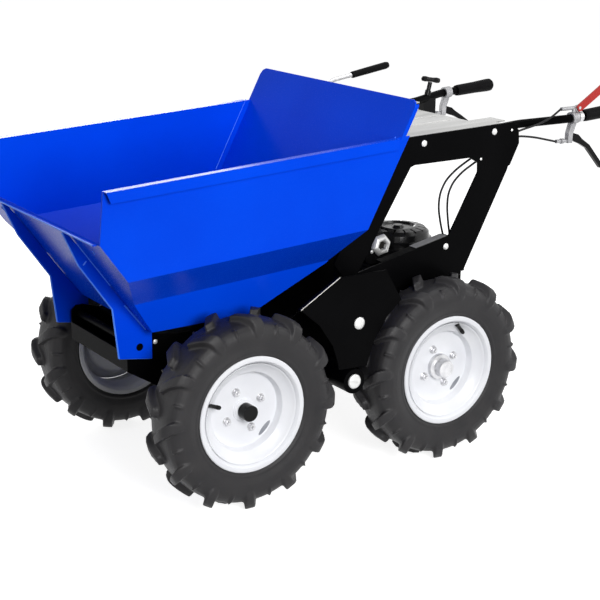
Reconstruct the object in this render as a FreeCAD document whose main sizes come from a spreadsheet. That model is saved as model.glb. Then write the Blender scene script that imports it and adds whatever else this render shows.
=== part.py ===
import FreeCAD, Part
import math
import os
import re

import Sketcher

# Walk-behind four wheel site dumper: a tipping skip with a ramp front on a plate chassis,
# four lug tyres, a small petrol engine behind the skip and two handlebars.
# +X is the dump end, +Y the left side, +Z up. The floor is Z 0 and the X origin is the middle
# of the overall length. The pieces are drawn from the point halfway between the axles at axle
# height, then moved by originShift and lifted by tyreRadius. Lengths are in millimetres.

os.makedirs("parts", exist_ok=True)
doc = FreeCAD.newDocument("SiteDumper")

SIZES = {
    "originShift": 136.5, "wheelbase": 584, "trackHalf": 311.5,
    "tyreRadius": 238, "tyreWidth": 114, "tyreGap": 24.5, "lugDepth": 16, "lugWidth": 30, "lugLead": 37,
    "rimRadius": 141, "rimWidth": 100, "rimBarrel": 124, "rimWall": 3, "discOffset": 6, "discWall": 5,
    "bossRadius": 21, "bossReach": 41.5, "boltCircle": 50.8, "boltRadius": 7, "shaftRadius": 12.5,
    "runningGap": 0.05, "seatGap": 0.2, "capRadius": 19.5, "capReach": 39.5,
    "skipWall": 3, "skipTopHalf": 338, "skipLeanIn": 4, "stepWidth": 94, "troughLeanIn": 32, "skipSlope": 0.0555,
    "skipTopFront": 562, "skipFoldFront": 353, "skipStepFront": 266, "skipFloorZ": 189, "skipFrontX": 646,
    "skipLead": 100, "rampTopX": 657, "rampTopZ": 446, "rampFootX": 469, "floorRearX": 200, "floorRearZ": 297,
    "rearLean": 0.53, "rearPlateX": -135, "rearPlateZ": 607, "sideOverlap": 25, "headboardZ": 689,
    "headboardOut": 2, "headboardReturn": 12, "foldOut": 14, "foldDown": 25, "foldRearX": -120, "lipReach": 15,
    "gussetY": 167, "gussetWall": 6, "pivotX": 482, "pivotZ": 145, "pivotRadius": 9,
    "plateWall": 5, "noseInset": 17, "noseRearX": 196, "deckZ": 62, "deckDrop": 90, "deckSheet": 6,
    "housingRadius": 30, "housingWall": 12, "guardInset": 28.5, "guardGapFront": 28, "guardGapRear": 12,
    "guardTopZ": 286, "guardBossX": -8, "guardBossZ": 20, "guardBossRadius": 31, "spacerX": -23, "spacerZ": 164,
    "spacerRadius": 14,
    "frameTopZ": 578, "frameRearX": -602, "frameFootX": -436, "windowFrontX": -248, "windowRearX": -467,
    "windowTopZ": 508, "windowSillZ": 314, "sillDepth": 25, "traySheet": 3, "trayRearX": -500, "trayFrontX": -212,
    "trayArm": 80, "tubeRadius": 11, "gripRadius": 17, "gripSplay": 32, "bendX": -615, "barFrontX": -560,
    "barFrontZ": 575, "clampX": -768, "ringWall": 5, "gripFrontX": -803, "gripEndX": -938.5, "barEndZ": 600,
    "leverWall": 10, "adjusterRadius": 5, "cableRadius": 2.75, "engineX": -397, "engineHalf": 88,
    "engineLift": 98, "shroudTop": 187, "starterRadius": 92, "finWall": 3, "finPitch": 9, "tankTopZ": 288,
    "outletRadius": 17, "outletBore": 12, "shiftX": -285, "shiftY": -200, "shiftRadius": 6, "knobRadius": 8,
}

# Sizes that follow from the ones above.
FITS = {
    "plateY": "(trackHalf - tyreWidth / 2 - tyreGap)", "innerY": "(plateY - plateWall)",
    "gripY": "(plateY + gripSplay)", "noseHalf": "(gussetY - noseInset)",
    "foldHalf": "(skipTopHalf - skipLeanIn)", "stepHalf": "(foldHalf - stepWidth)",
    "floorHalf": "(stepHalf - troughLeanIn)", "headboardHalf": "(skipTopHalf + headboardOut)",
    "discFace": "(discOffset)", "carcass": "(tyreRadius - lugDepth)",
    "frontAxle": "(wheelbase / 2)", "rearAxle": "(-wheelbase / 2)",
    "deckEndX": "(rearAxle - housingRadius - 108)", "bellyEndX": "(rearAxle + housingRadius + housingWall)",
    "guardY": "(trackHalf + tyreWidth / 2 - guardInset)",
}

sheet = doc.addObject("Spreadsheet::Sheet", "Sizes")
for row, (alias, size) in enumerate(SIZES.items(), start=1):
    sheet.set(f"A{row}", alias)
    sheet.set(f"B{row}", str(size))
    sheet.setAlias(f"B{row}", alias)
doc.recompute()


def linked(text):
    """The expression with each size named in it read from the sheet."""
    while any(re.search(rf"\b{name}\b", text) for name in FITS):
        text = re.sub(r"[A-Za-z]\w*", lambda found: FITS.get(found.group(), found.group()), text)
    return re.sub(r"(?<![\w.])[A-Za-z]\w*",
                  lambda found: ("Sizes." if found.group() in SIZES else "") + found.group(), text)


def bind(thing, **sizes):
    """Set properties from expressions: bind(box, Length="skipWall * 2", x="barY")."""
    paths = {"x": "Placement.Base.x", "y": "Placement.Base.y", "z": "Placement.Base.z"}
    for name, text in sizes.items():
        thing.setExpression(paths.get(name, name), linked(str(text)))
    return thing


probe = doc.addObject("Part::Vertex", "Probe")


def spot(x, y="0", z="0"):
    """The point that three expressions give."""
    bind(probe, X=x, Y=y, Z=z)
    probe.recompute()
    return FreeCAD.Vector(float(probe.X), float(probe.Y), float(probe.Z))


def box(name, x, y, z):
    """A block between two expressions on each axis: x=("low", "high")."""
    block = doc.addObject("Part::Box", name)
    bind(block, Length=f"{x[1]} - ({x[0]})", Width=f"{y[1]} - ({y[0]})", Height=f"{z[1]} - ({z[0]})")
    return bind(block, x=x[0], y=y[0], z=z[0])


def rod(name, radius, start, length, axis="Y"):
    """A cylinder from start, three expressions, along +axis."""
    turn = {"X": FreeCAD.Rotation(FreeCAD.Vector(0, 1, 0), 90), "Z": FreeCAD.Rotation(),
            "Y": FreeCAD.Rotation(FreeCAD.Vector(1, 0, 0), -90)}[axis]
    bar = doc.addObject("Part::Cylinder", name)
    bar.Placement.Rotation = turn
    return bind(bar, Radius=radius, Height=length, x=start[0], y=start[1], z=start[2])


def outlined(name, points, plane, middle=0):
    """A body with a closed sketch through points, two expressions each, on an origin plane."""
    body = doc.addObject("PartDesign::Body", name)
    sketch = body.newObject("Sketcher::SketchObject", name + "Sketch")
    flat = [f for f in body.Origin.OriginFeatures if f.Role == plane + "_Plane"][0]
    sketch.AttachmentSupport = [(flat, "")]
    sketch.MapMode = "FlatFace"
    last = len(points)
    turn = 2 * math.pi / last
    corners = [FreeCAD.Vector(middle + 50 * math.cos(turn * i), 50 * math.sin(turn * i), 0) for i in range(last)]
    for i in range(last):
        sketch.addGeometry(Part.LineSegment(corners[i], corners[(i + 1) % last]), False)
    for i in range(last):
        sketch.addConstraint(Sketcher.Constraint("Coincident", i, 2, (i + 1) % last, 1))
    for i, (across, up) in enumerate(points):
        for kind, text in (("DistanceX", across), ("DistanceY", up)):
            number = sketch.addConstraint(Sketcher.Constraint(kind, -1, 1, i, 1, 10.0))
            sketch.renameConstraint(number, f"{kind}{i}")
            sketch.setExpression(f"Constraints.{kind}{i}", linked(str(text)))
    return body, sketch


def profile(name, points, thickness, start, plane="XZ"):
    """A plate with the outline points, padded towards -axis from start."""
    body, sketch = outlined(name, points, plane)
    sketch.setExpression("AttachmentOffset.Base.z", linked(f"-({start})" if plane == "XZ" else start))
    pad = body.newObject("PartDesign::Pad", name + "Pad")
    pad.Profile = sketch
    pad.setExpression("Length", linked(str(thickness)))
    return body


def spun(name, points):
    """A full turn about the Y axis. Points are (radius, along Y)."""
    body, sketch = outlined(name, points, "XY", middle=200)
    spin = body.newObject("PartDesign::Revolution", name + "Spin")
    spin.Profile = sketch
    spin.ReferenceAxis = (sketch, ["V_Axis"])
    spin.Angle = 360
    return body


def join(name, *pieces):
    whole = doc.addObject("Part::MultiFuse", name)
    whole.Shapes = list(pieces)
    return whole


def cut(name, base, *tools):
    result = doc.addObject("Part::Cut", name)
    result.Base = base
    result.Tool = tools[0] if len(tools) == 1 else join(name + "Tools", *tools)
    return result


def common(name, first, second):
    result = doc.addObject("Part::Common", name)
    result.Base = first
    result.Tool = second
    return result


def mirrored(name, source):
    """The same piece on the right side."""
    other = doc.addObject("Part::Mirroring", name)
    other.Source = source
    other.Normal = FreeCAD.Vector(0, 1, 0)
    return other


def solid(name, shape):
    """A piece whose shape is worked out from evaluated points."""
    piece = doc.addObject("Part::Feature", name)
    piece.Shape = shape
    return piece


nodes = []


def keep(piece, label, **place):
    """Name a finished sub-part and move it to the part's own frame."""
    known = {path.lstrip("."): text for path, text in piece.ExpressionEngine}
    for axis, text in (("x", "originShift"), ("z", "tyreRadius")):
        own = known.get(f"Placement.Base.{axis}", "0")
        bind(piece, **{axis: place.get(axis, f"{text} + ({own})")})
    if "y" in place:
        bind(piece, y=place["y"])
    piece.Label = label
    nodes.append(piece)
    return piece


def keepBoth(piece, label, **place):
    """The left piece and its mirror image, which takes the left one's place."""
    keep(piece, label + "Left", **place)
    other = mirrored(label + "Mirror", piece)
    other.Label = label + "Right"
    nodes.append(other)


# Skip: a sheet tub whose cross section slides back and up along skipSlope.
def tubSection(name, inset):
    """The tub's cross section as a long bar that climbs rearwards, each half drawn in by inset."""
    half = [("floorHalf - 40 - {0}", "skipStepFront - 200"), ("stepHalf - {0}", "skipStepFront + {0} * 0.5"),
            ("foldHalf - {0}", "skipFoldFront + {0} * 0.5"), ("skipTopHalf - {0}", "skipTopFront + 66 * {0}")]
    right = [(across.format(inset), up.format(inset) + " - skipSlope * skipLead") for across, up in half]
    outline = right + [(f"-({across})", up) for across, up in reversed(right)]
    body = profile(name, outline, "2 * (skipFrontX - rearPlateX)", "skipFrontX + skipLead", "YZ")
    pad = body.Tip
    pad.UseCustomVector = True
    pad.AlongSketchNormal = True
    pad.Direction = FreeCAD.Vector(-1, 0, SIZES["skipSlope"])
    pad.setExpression("Direction.z", linked("skipSlope"))
    return body


def rearX(z, back="0"):
    """X of the rear plate's inner face at a height, moved back."""
    return f"rearPlateX + rearLean * (rearPlateZ - ({z})) - ({back})"


rampRun = "(rampTopX - rampFootX) / (rampTopZ - skipFloorZ)"
wide = ("2 * skipTopHalf + 120", "skipTopHalf + 60")
high = "headboardZ + 170"
outside = profile("TubSideOutside", [
    ("skipFrontX", "skipTopFront + 20"), ("rampTopX", "rampTopZ"), ("rampFootX", "skipFloorZ"),
    ("floorRearX", "skipFloorZ"), (rearX("floorRearZ", "sideOverlap"), "floorRearZ"),
    (rearX("rearPlateZ + 60", "sideOverlap"), "rearPlateZ + 60")], *wide)
inside = profile("TubSideInside", [
    (f"rampTopX + {rampRun} * 150 - skipWall * 1.24", "rampTopZ + 150"),
    ("rampFootX - skipWall * 0.5", "skipFloorZ + skipWall"), ("floorRearX + skipWall * 0.3", "skipFloorZ + skipWall"),
    (rearX("floorRearZ + 8"), "floorRearZ + 8 - skipWall"), (rearX(high), high), ("skipFrontX + 150", high)], *wide)
behind = profile("TubSideBehind", [
    (rearX("floorRearZ + 20", "skipWall"), "floorRearZ + 20"), (rearX(high, "skipWall"), high),
    (rearX(high, "200"), high), (rearX("floorRearZ + 20", "200"), "floorRearZ + 20")], *wide)
shell = common("TubShell", tubSection("TubOutside", "0"), outside)
hollow = common("TubHollow", tubSection("TubInside", "skipWall"), inside)
recess = common("TubRecess", tubSection("TubInsideRear", "skipWall"), behind)
tub = cut("TubSheet", shell, hollow, recess)

# The headboard stands on the rear plate, with rounded top corners and a return down each side.
seam = "rearPlateZ - 12"
slab = profile("HeadboardSlab", [
    (rearX(seam), seam), (rearX("headboardZ"), "headboardZ"), (rearX("headboardZ", "headboardReturn"), "headboardZ"),
    (rearX(seam, "headboardReturn"), seam)], "2 * headboardHalf", "headboardHalf")
hollowBack = profile("HeadboardHollow", [
    (rearX("rearPlateZ - 90", "skipWall"), "rearPlateZ - 90"), (rearX(high, "skipWall"), high),
    (rearX(high, "90"), high), (rearX("rearPlateZ - 90", "90"), "rearPlateZ - 90")],
    "2 * (headboardHalf - skipWall)", "headboardHalf - skipWall")
face = [("headboardHalf", seam), ("headboardHalf", "headboardZ - 16"), ("headboardHalf - 5", "headboardZ - 5"),
        ("headboardHalf - 16", "headboardZ")]
facing = profile("HeadboardFacing", face + [(f"-({across})", up) for across, up in reversed(face)],
                 "400", "rearPlateX - 300", "YZ")
headboard = common("Headboard", cut("HeadboardSheet", slab, hollowBack), facing)

# Each side wall's top edge is folded out and down, with its front end cut back.
low = [("foldRearX", "skipTopFront + skipSlope * (skipFrontX - foldRearX)"), ("skipFrontX", "skipTopFront")]
foldEdge = "skipTopHalf + foldOut"
strip = profile("FoldTop", low[::-1] + [(a, f"{b} - skipWall") for a, b in low], "foldOut + skipWall", foldEdge)
drop = profile("FoldDrop", low[::-1] + [(low[0][0], low[0][1] + " - foldDown"),
               ("skipFrontX - foldDown * 0.4", "skipTopFront - foldDown")], "skipWall", foldEdge)
fold = join("FoldLeft", strip, drop)
lipHalf = "foldHalf - 14"
lip = box("RampLip", ("rampTopX - 6", "rampTopX + lipReach - 6"), (f"-({lipHalf})", lipHalf),
          ("rampTopZ - skipWall", "rampTopZ"))
keep(join("Tub", tub, headboard, fold, mirrored("FoldRight", fold), lip), "skipTub")

# Pivot plates under the ramp, each with its foot and bore.
plate = profile("GussetPlate", [
    ("rampTopX + 8", "rampTopZ - skipWall - 1"), ("pivotX + 146", "pivotZ + 216"), ("pivotX + 66", "pivotZ + 102"),
    ("pivotX + 52", "pivotZ - 20"), ("pivotX - 32", "pivotZ - 33"), ("pivotX - 32", "skipFloorZ - 1"),
    ("rampFootX + 0.5", "skipFloorZ - 0.6"), ("rampTopX - 1", "rampTopZ - skipWall - 1")],
    "gussetWall", "gussetY + gussetWall / 2")
bore = rod("GussetBore", "pivotRadius + runningGap", ("pivotX", "gussetY - 20", "pivotZ"), "40")
keepBoth(cut("Gusset", plate, bore), "skipGusset")

# Chassis: side plates on a deck, and a narrower nose box that carries the skip's pivot pin.
sidePoints = [
    ("noseRearX + 9", "deckZ - deckDrop"), ("noseRearX + 9", "deckZ + 50"),
    ("noseRearX - 117", "deckZ + 118"), ("noseRearX - 237", "deckZ + 188"), ("noseRearX - 316", "deckZ + 188"),
    ("deckEndX", "deckZ + 160"), ("deckEndX", "-40"), ("rearAxle + 92", "-40"),
    ("rearAxle + 132", "deckZ - deckDrop")]
axleBore = rod("SideBore", "housingRadius", ("rearAxle", "0", "0"), "plateY + 20")
sidePlate = cut("SideBored", profile("SidePlate", sidePoints, "plateWall", "plateY"), axleBore)

# A guard between the tyres, cut in an arc round each, stands off the side plate on a boss and a spacer.
arcs = [("frontAxle", "guardGapFront", (123, 138, 153, 168)), ("rearAxle", "guardGapRear", (12, 27, 42, 55))]
guardEdge = [(f"{axle} + (tyreRadius + {gap}) * cos({angle} * 1 deg)", f"(tyreRadius + {gap}) * sin({angle} * 1 deg)")
             for axle, gap, angles in arcs for angle in angles]
lipTop = [guardEdge[0], ("guardBossX + 45", "guardTopZ")]
guard = profile("GuardPlate", guardEdge + [("guardBossX - 92", "guardTopZ"), lipTop[1]], "plateWall", "guardY")
guardLip = profile("GuardLip", lipTop + [(across, f"{up} - 4") for across, up in reversed(lipTop)], "14", "guardY")
guardBoss = rod("GuardBoss", "guardBossRadius", ("guardBossX", "innerY", "guardBossZ"), "guardY - innerY + 4")
spacer = rod("GuardSpacer", "spacerRadius", ("spacerX", "innerY", "spacerZ"), "guardY - innerY - 1")
keepBoth(join("SideLeft", sidePlate, guard, guardLip, guardBoss, spacer), "chassisSide")
acrossDeck = ("-(innerY)", "innerY")
deckFloor = ("deckZ - deckDrop", "deckZ - deckDrop + deckSheet")
deck = box("Deck", ("deckEndX - 70", "noseRearX - 1"), acrossDeck, ("deckZ - deckSheet", "deckZ"))
belly = box("Belly", ("bellyEndX", "noseRearX - 1"), acrossDeck, deckFloor)
rib = box("DeckRib", ("-20", "-20 + deckSheet"), acrossDeck, ("deckZ - deckDrop", "deckZ"))
keep(join("DeckPlates", deck, belly, rib), "chassisDeck")

noseTopZ, noseFootZ, noseTipX = "deckZ + 92", "deckZ - 70", "pivotX + 23"
cheek = profile("NoseCheek", [
    ("noseRearX", noseFootZ), ("frontAxle + 68", noseFootZ), (noseTipX, "deckZ + 20"), (noseTipX, "pivotZ + 10"),
    ("pivotX + 10", "pivotZ + 22"), ("pivotX - 10", "pivotZ + 22"), ("pivotX - 52", noseTopZ),
    ("noseRearX", noseTopZ)], "plateWall", "noseHalf")
inNose = ("1 - noseHalf", "noseHalf - 1")
noseSlope = profile("NoseSlope", [
    ("frontAxle + 68", noseFootZ), (noseTipX, "deckZ + 20"), (f"{noseTipX} - 3", "deckZ + 24"),
    ("frontAxle + 65", "deckZ - 66")], "2 * noseHalf - 2", "noseHalf - 1")
noseFront = box("NoseFront", (f"{noseTipX} - plateWall", noseTipX), inNose, ("deckZ + 20", "pivotZ - 20"))
noseTop = box("NoseTop", ("noseRearX", "pivotX - 52"), inNose, (f"{noseTopZ} - 2 - plateWall", f"{noseTopZ} - 2"))
noseFloor = box("NoseFloor", ("noseRearX", "frontAxle + 66"), inNose, (noseFootZ, f"{noseFootZ} + plateWall"))
bulkhead = box("Bulkhead", ("noseRearX - 1", "noseRearX - 1 + plateWall"), acrossDeck,
               ("deckZ - deckDrop", noseTopZ))
pinBores = rod("PinBores", "pivotRadius", ("pivotX", "-gussetY", "pivotZ"), "2 * gussetY")
axleBores = rod("AxleBores", "housingRadius", ("frontAxle", "-gussetY", "0"), "2 * gussetY")
noseBox = join("NoseBox", cheek, mirrored("NoseCheekRight", cheek), noseSlope, noseFront, noseTop, noseFloor,
               bulkhead)
keep(cut("Nose", noseBox, pinBores, axleBores), "chassisNose")
pinHalf = "gussetY + gussetWall / 2 - 1.5"
keep(rod("PivotPin", "pivotRadius", ("pivotX", f"-({pinHalf})", "pivotZ"), f"2 * ({pinHalf})"), "pivotPin")


def axleHousing(name, at):
    """The fixed tube that carries both wheels' shafts."""
    tube = rod(name + "Tube", "housingRadius", (at, "60 - trackHalf", "0"), "2 * trackHalf - 120")
    hole = rod(name + "Bore", "shaftRadius + runningGap", (at, "-trackHalf", "0"), "2 * trackHalf")
    return cut(name, tube, hole)


keep(axleHousing("AxleFront", "frontAxle"), "axleHousingFront")
keep(axleHousing("AxleRear", "rearAxle"), "axleHousingRear")

# Handle frame: two plates with a large window that lean back from the chassis, and a folded sill.
frameOuter = [
    ("frameRearX + 22", "frameTopZ + 11"), ("frameRearX", "frameTopZ - 12"), ("frameRearX - 3", "frameTopZ - 46"),
    ("frameRearX + 25", "frameTopZ - 101"), ("frameRearX + 31", "frameTopZ - 103"),
    ("frameRearX + 34", "frameTopZ - 112"),
    ("frameFootX", "deckZ + 156"), ("frameFootX", "deckZ + 150"), ("noseRearX - 286", "deckZ + 130"),
    ("noseRearX - 216", "floorRearZ - 10"), ("windowFrontX + 58", "frameTopZ")]
frameWindow = [
    ("windowFrontX", "windowTopZ - 4"), ("windowFrontX - 12", "windowTopZ"), ("windowRearX + 28", "windowTopZ + 1"),
    ("windowRearX", "windowTopZ - 15"), ("windowRearX - 1", "windowTopZ - 39"), ("windowRearX + 88", "windowSillZ - 2"),
    ("windowFrontX + 156", "windowSillZ - 59")]
frameSheet = cut("FrameSheet", profile("FrameOuter", frameOuter, "plateWall", "plateY + plateWall"),
                 profile("FrameWindow", frameWindow, "4 * plateWall", "plateY + 3 * plateWall"))
sillRun = [("windowRearX + 84", "windowSillZ - 2"), ("windowFrontX + 78", "windowSillZ - 43")]
sill = profile("FrameSill", sillRun + [(a, f"{b} - 4") for a, b in reversed(sillRun)], "sillDepth + 1", "plateY + 1")
keepBoth(join("FramePlate", frameSheet, sill), "handleFrame")

# The grey tray lies between the plates, under their top edges, with an arm back along each side.
trayZ = "frameTopZ - 4 + 0.035 * ({} - trayFrontX) * -1"
trayHalf = "plateY - seatGap"


def traySheet(name, start, end, half, edge):
    ends = [(start, trayZ.format(start)), (end, trayZ.format(end))]
    return profile(name, ends + [(a, f"{b} + traySheet") for a, b in reversed(ends)], half, edge)


barSide = "plateY - 2 * tubeRadius - 2"
arm = join("TrayArmLeft", traySheet("TrayArm", "trayRearX + 1", "barFrontX + 15", "trayArm", trayHalf),
           traySheet("TrayArmEnd", "barFrontX + 16", "frameRearX + 24", "trayArm - 24", barSide))
ribs = [traySheet(f"TrayRib{i}", "trayRearX + 25", "trayFrontX - 20", "9", f"{across} + 4.5")
        for i, across in enumerate((-110, -40, 40, 110))]
for raised in ribs:
    raised.Placement.Base.z = 2
trayLip = box("TrayLip", ("trayRearX", "trayRearX + traySheet"), (f"-({trayHalf})", trayHalf),
              (trayZ.format("trayRearX") + " - 18", trayZ.format("trayRearX") + " + 1"))
keep(join("Tray", traySheet("TraySheet", "trayFrontX", "trayRearX", f"2 * ({trayHalf})", trayHalf), arm,
          mirrored("TrayArmRight", arm), trayLip, *ribs), "consoleTray")


def size(alias):
    return float(sheet.get(alias))


def pathOf(route, share=0.45):
    """Straight runs joined by tangent arcs, as one wire, with the arcs' radii."""
    edges, radii, start = [], [], route[0]
    for before, corner, after in zip(route, route[1:], route[2:]):
        back, ahead = before - corner, after - corner
        reach = share * min(back.Length, ahead.Length)
        half = (math.pi - back.getAngle(ahead)) / 2
        radius = reach / math.tan(half)
        back.normalize()
        ahead.normalize()
        first, last = corner + back * reach, corner + ahead * reach
        middle = corner + (back + ahead).normalize() * radius * (1 / math.cos(half) - 1)
        edges += [Part.LineSegment(start, first).toShape(), Part.Arc(first, middle, last).toShape()]
        radii.append(radius)
        start = last
    edges.append(Part.LineSegment(start, route[-1]).toShape())
    return Part.Wire(edges), radii


def tube(radius, route, share=0.45):
    """A round bar along a route, its bends as wide as the runs allow."""
    path, radii = pathOf(route, share)
    ring = Part.Wire([Part.Circle(route[0], route[1] - route[0], radius).toShape()])
    swept = path.makePipeShell([ring], True, False)
    wanted = math.pi * radius ** 2 * path.Length
    if abs(swept.Volume - wanted) > 0.01 * wanted:
        raise RuntimeError(f"a tube's volume is {swept.Volume:.0f}, not {wanted:.0f}")
    return swept, radii


def flatBar(route, y, thickness):
    """A flat bar in a plane of constant Y. The route's rows are (x, z, width)."""
    rows = [(FreeCAD.Vector(x, 0, z), width) for x, z, width in route]
    upper, lower = [], []
    for i, (place, width) in enumerate(rows):
        run = rows[min(i + 1, len(rows) - 1)][0] - rows[max(i - 1, 0)][0]
        aside = FreeCAD.Vector(-run.z, 0, run.x).normalize() * width / 2
        upper.append(place + aside)
        lower.append(place - aside)
    edge = [p + FreeCAD.Vector(0, y - thickness / 2, 0) for p in upper + lower[::-1]]
    return Part.Face(Part.makePolygon(edge + edge[:1])).extrude(FreeCAD.Vector(0, thickness, 0))


# Handlebars: inside the frame plate, splayed out, then level with the grip.
def barPoint(x, side=1):
    """A point on a handlebar's centre line at an expression for x."""
    rise = "(barEndZ - barFrontZ) / (barFrontX - gripEndX)"
    share = f"min(max((bendX - ({x})) / (bendX - clampX - 22); 0); 1)"
    inner = "(plateY - tubeRadius - seatGap)"
    return spot(x, f"{side} * ({inner} + (gripY - {inner}) * {share})", f"barFrontZ + {rise} * (barFrontX - ({x}))")


def turned(outline, start, along):
    """A solid of revolution about the line from start. The outline's rows are (distance, radius)."""
    aside = FreeCAD.Vector(0, 1, 0)
    edge = [start + along * d + aside * r for d, r in [(outline[0][0], 0)] + outline + [(outline[-1][0], 0)]]
    return Part.Face(Part.makePolygon(edge + edge[:1])).revolve(start, along, 360)


def clampRing(at, side, wall, width):
    """A ring round the bar, its bore a hair wider than the bar, with the bore's core and middle."""
    middle = barPoint(at, side)
    along = (barPoint(f"{at} - 1", side) - middle).normalize()
    ring = Part.makeCylinder(size("tubeRadius") + wall, width, middle - along * width / 2, along)
    core = Part.makeCylinder(size("tubeRadius") + size("seatGap"), 2 * width, middle - along * width, along)
    return ring, core, middle


gripLength = size("gripFrontX") - size("gripEndX")
gripOutline = [(0, 15), (gripLength * 0.06, 16), (gripLength * 0.5, 16.5), (gripLength * 0.86, 18.5),
               (gripLength * 0.95, 18), (gripLength * 0.99, 14), (gripLength, 10)]
gripOutline = [(along, across * size("gripRadius") / 17) for along, across in gripOutline]
# Lever blades below the bars: x and z from the clamp's middle, then the width.
bladeRoutes = {
    "Left": [(3, -50, 20), (-14, -56, 22), (-30, -66, 15), (-57, -82, 13), (-112, -141, 12)],
    "Right": [(3, -50, 20), (-14, -56, 22), (-30, -64, 15), (-52, -76, 13), (-89, -100, 12)],
}
for side, label in ((1, "Left"), (-1, "Right")):
    route = [barPoint(x, side) for x in ("barFrontX + 12", "bendX", "clampX + 22", "gripFrontX")]
    keep(solid("Handlebar" + label, tube(size("tubeRadius"), route, 0.2)[0]), "handlebar" + label)
    gripStart, gripEnd = barPoint("gripFrontX - seatGap", side), barPoint("gripEndX", side)
    keep(solid("Grip" + label, turned(gripOutline, gripStart, (gripEnd - gripStart).normalize())), "grip" + label)
    ring, core, middle = clampRing("clampX", side, size("ringWall"), 22)
    leverY, wall = middle.y, size("leverWall")
    arm = flatBar([(middle.x + 2, middle.z - 12, 18), (middle.x + 12, middle.z - 40, 16),
                   (middle.x + 13, middle.z - 66, 15)], leverY, wall + 4)
    foot = FreeCAD.Vector(middle.x + 18, leverY, middle.z - 60)
    forward = FreeCAD.Vector(1, 0, 0.04)
    adjuster = Part.makeCylinder(size("adjusterRadius"), 40, foot, forward)
    lockNut = Part.makeCylinder(size("adjusterRadius") + 2, 9, foot + forward * 14, forward)
    pieces = [arm, adjuster, lockNut]
    if side > 0:
        nipple = FreeCAD.Vector(middle.x - 5, leverY, middle.z + 26)
        pieces.append(Part.makeCylinder(size("adjusterRadius"), 51, nipple, FreeCAD.Vector(1, 0, 0)))
        post = middle + FreeCAD.Vector(0, 0, 12)
        pieces.append(Part.makeCylinder(size("adjusterRadius"), 16, post, FreeCAD.Vector(0, 0, 1)))
    keep(solid("LeverBracket" + label, ring.multiFuse(pieces).cut(core)), "leverBracket" + label)
    blade = flatBar([(middle.x + x, middle.z + z, width) for x, z, width in bladeRoutes[label]], leverY, wall)
    clear = flatBar([(middle.x + 2, middle.z - 12, 18.6), (middle.x + 12, middle.z - 40, 16.6),
                     (middle.x + 13, middle.z - 80, 15.6)], leverY, wall + 5)
    keep(solid("LeverBlade" + label, blade.cut(clear)), "leverBlade" + label)

# Control cables: from the left adjusters, inside the frame plate, across its window and down to the deck.
side = barPoint("clampX")
lowStart = FreeCAD.Vector(side.x + 59.4, side.y, side.z - 58.4)
highStart = FreeCAD.Vector(side.x + 47.6, side.y, side.z + 26)
hidden = spot("plateY - 12").x
deckTop = spot("deckZ + seatGap").x
cableRoutes = {
    "cableLowerLeft": [lowStart, (-643, hidden + 28, 546), (-600, hidden + 4, 549), (-545, hidden - 7, 520),
                       (-487, hidden - 13, 490), (-445, hidden - 18, 466), (-416, hidden - 18, 442),
                       (-401, hidden - 18, 414), (-399, hidden - 18, 380), (-404, hidden - 18, 340),
                       (-414, hidden - 18, 290), (-417, hidden - 20, 215), (-408, hidden - 22, 140),
                       (-404, hidden - 22, deckTop)],
    "cableUpperLeft": [highStart, (-686, hidden + 41, 592), (-650, hidden + 30, 577), (-610, hidden + 7, 562),
                       (-555, hidden - 9, 538), (-508, hidden - 15, 515), (-466, hidden - 19, 495),
                       (-424, hidden - 20, 473), (-392, hidden - 20, 448), (-375, hidden - 20, 416),
                       (-372, hidden - 20, 380), (-380, hidden - 20, 340), (-397, hidden - 20, 285),
                       (-398, hidden - 24, 215), (-386, hidden - 28, 140), (-382, hidden - 28, deckTop)],
}
for label, route in cableRoutes.items():
    cable, radii = tube(size("cableRadius"), [FreeCAD.Vector(*p) for p in route])
    print(label, "bend radii", [round(r) for r in radii])
    keep(solid(label, cable), label)

# Wheels: a lug tyre on a pressed rim with a dished disc, four bolts and a driven hub.
RIM = [
    ("rimRadius", "rimWidth / 2"), ("rimRadius", "rimWidth / 2 - 4"), ("rimBarrel + 4", "rimWidth / 2 - 6"),
    ("rimBarrel", "10"), ("rimBarrel - 6", "0"), ("rimBarrel", "-10"), ("rimBarrel + 4", "6 - rimWidth / 2"),
    ("rimRadius", "4 - rimWidth / 2"), ("rimRadius", "-rimWidth / 2"), ("rimBarrel + 1", "2 - rimWidth / 2"),
    ("rimBarrel - rimWall", "-10"), ("rimBarrel - 6 - rimWall", "0"), ("rimBarrel - rimWall - 1", "10"),
    ("rimBarrel + 1", "rimWidth / 2 - 2")]
DISC = [
    ("8", "discFace - discWall"), ("rimBarrel - 32", "discFace - discWall"),
    ("rimBarrel - 26", "discFace + 8 - discWall"), ("rimBarrel - 3", "discFace + 2 - discWall"),
    ("rimBarrel - 3", "discFace + 2"), ("rimBarrel - 26", "discFace + 10"), ("rimBarrel - 33", "discFace"),
    ("8", "discFace")]
TYRE = [
    ("rimBarrel + 5.5", "rimWidth / 2 - 7"), ("rimRadius + 2.5", "rimWidth / 2 - 4"),
    ("tyreRadius - 54", "tyreWidth / 2"), ("carcass - 5", "tyreWidth / 2 - 12")]
tyreSides = 36
lugsPerSide = 12


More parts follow.
